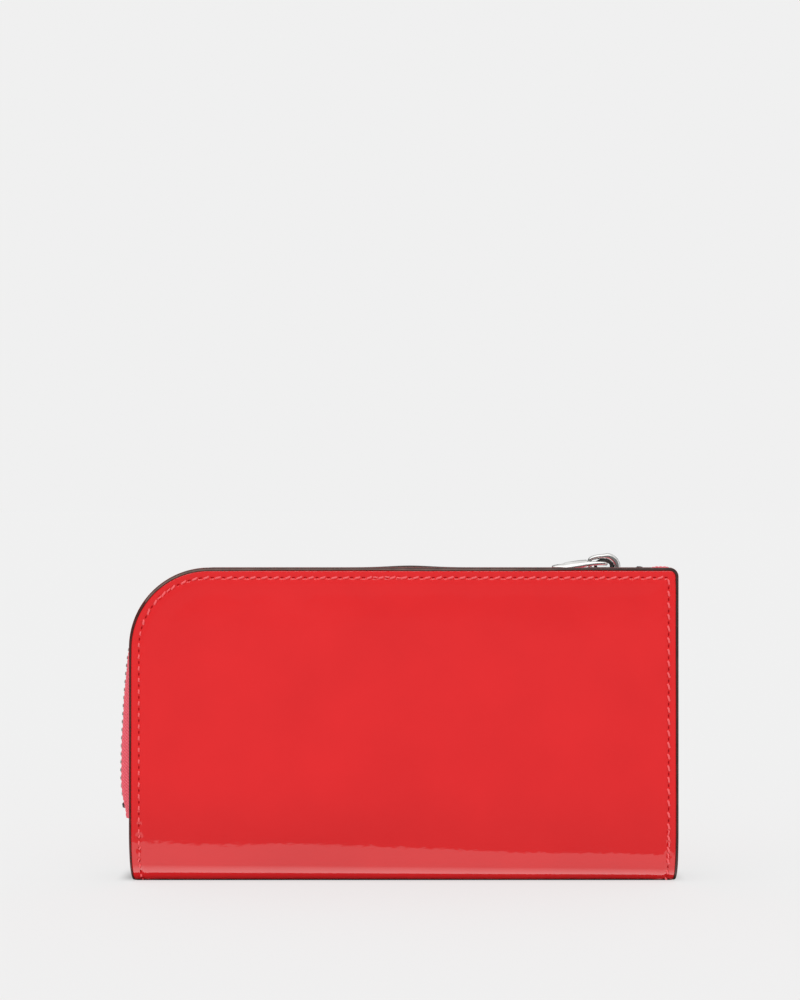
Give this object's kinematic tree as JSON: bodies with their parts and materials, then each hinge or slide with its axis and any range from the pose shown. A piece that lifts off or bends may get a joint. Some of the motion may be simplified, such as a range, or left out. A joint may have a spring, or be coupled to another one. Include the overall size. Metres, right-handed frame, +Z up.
{
  "type": "zip around wallet",
  "caption": "Flat rectangular leather wallet whose panels fold open about a rolled bottom, closed by a metal zip along the top, one rounded corner and one side.",
  "frame": {"origin": "middle of the flat underside of the bottom fold", "axes": "+X along the wallet to the closed side, +Y from the back panel to the front panel, +Z up from the fold to the zip"},
  "size_m": [0.1687, 0.0222, 0.0984],
  "materials": {
    "outer_leather": "glossy patent red",
    "edge_paint": "dark glossy edge paint",
    "thread": "waxed red thread",
    "zip_tape": "woven herringbone tape",
    "zip_metal": "plated metal teeth",
    "slider_metal": "polished plated metal",
    "inner_leather": "smooth semi-matte red",
    "lining_fabric": "fine woven lining",
    "gusset_fabric": "fine woven lining",
    "coin_zip_tape": "woven tape",
    "coin_zip_nylon": "nylon coil"
  },
  "bodies": {
    "back": {"back_panel": "outer_leather", "back_lining": "lining_fabric", "back_edge_bead": "edge_paint", "back_stitching": "thread", "fold_base": "outer_leather", "back_fold_round": "outer_leather", "front_fold_round": "outer_leather", "back_zip_tape": "zip_tape", "back_zip_teeth": "zip_metal", "back_top_stop": "zip_metal", "back_bottom_stop": "zip_metal", "back_slip_pocket": "inner_leather", "back_card_slot_1": "inner_leather", "back_card_slot_2": "inner_leather", "back_card_slot_3": "inner_leather", "back_card_slot_4": "inner_leather", "left_gusset": "gusset_fabric", "right_gusset": "gusset_fabric", "divider_base_strip": "lining_fabric"},
    "front": {"front_panel": "outer_leather", "front_lining": "lining_fabric", "front_edge_bead": "edge_paint", "front_stitching": "thread", "front_zip_tape": "zip_tape", "front_zip_teeth": "zip_metal", "front_top_stop": "zip_metal", "front_bottom_stop": "zip_metal", "front_slip_pocket": "inner_leather", "front_card_slot_1": "inner_leather", "front_card_slot_2": "inner_leather", "front_card_slot_3": "inner_leather", "front_card_slot_4": "inner_leather"},
    "divider": {"coin_pocket_back_wall": "inner_leather", "coin_pocket_front_wall": "inner_leather", "coin_pocket_bottom_seam": "lining_fabric", "coin_pocket_left_seam": "lining_fabric", "coin_pocket_right_seam": "lining_fabric", "coin_zip_back_tape": "coin_zip_tape", "coin_zip_front_tape": "coin_zip_tape", "coin_zip_back_coil": "coin_zip_nylon", "coin_zip_front_coil": "coin_zip_nylon", "coin_zip_left_stop": "zip_metal", "coin_zip_right_stop": "zip_metal"},
    "slider": {"slider_body": "slider_metal", "slider_crown": "slider_metal"},
    "pull": {"pull_tab": "slider_metal"},
    "coin_slider": {"coin_slider_body": "slider_metal", "coin_slider_crown": "slider_metal", "coin_pull": "slider_metal"}
  },
  "joints": [
    {"name": "opening", "type": "hinge", "parent": "back", "child": "front", "pos_m": [0, 0, 0.016], "axis": [-1, 0, 0], "range_deg": [0, 40], "deforming": ["front_fold_round", "left_gusset", "right_gusset"]},
    {"name": "divider_swing", "type": "hinge", "parent": "back", "child": "divider", "pos_m": [0, 0, 0.016], "axis": [-1, 0, 0], "range_deg": [0, 20]},
    {"name": "slider_travel", "type": "slide", "parent": "back", "child": "slider", "axis": [1, 0, 0], "range_m": [-0.112, 0.0045]},
    {"name": "pull_swing", "type": "hinge", "parent": "slider", "child": "pull", "pos_m": [0.0615, 0, 0.09535], "axis": [0, 1, 0], "range_deg": [0, 150]},
    {"name": "coin_slider_travel", "type": "slide", "parent": "divider", "child": "coin_slider", "axis": [1, 0, 0], "range_m": [-0.102, 0.006]}
  ],
  "couplings": [
    {"joint": "divider_swing", "follows": "opening", "ratio": 0.5}
  ]
}
